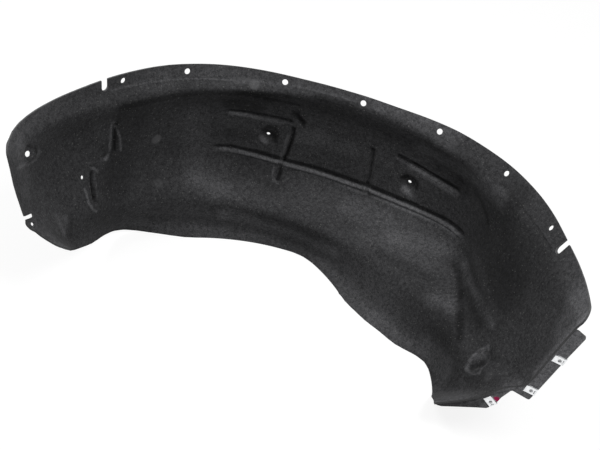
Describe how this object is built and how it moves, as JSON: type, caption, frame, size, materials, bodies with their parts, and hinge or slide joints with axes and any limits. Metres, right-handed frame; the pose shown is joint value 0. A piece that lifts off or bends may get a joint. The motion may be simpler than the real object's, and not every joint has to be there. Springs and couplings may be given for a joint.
{
  "type": "wheel arch liner",
  "caption": "Wheel arch liner of moulded black felt: a stepped, grooved half-round sheet with a drilled lip, a narrow front foot and a tabbed rear foot with sheet-metal clip nuts.",
  "frame": {"origin": "the middle of the base of the liner's own box, in the plane of the inner edge that it lies on", "axes": "+X along the car to the rear foot, +Y up the car to the crown of the arch, +Z along the wheel's axis out of the car, to the lip"},
  "size_m": [0.7588, 0.3514, 0.27],
  "materials": {
    "felt": "needle-punched felt, black, matt",
    "zinc": "bright zinc-plated spring sheet"
  },
  "bodies": {
    "root": {"felt_shell": "felt", "clip_nut_outer": "zinc", "clip_nut_middle": "zinc", "clip_nut_inner": "zinc"}
  },
  "joints": []
}
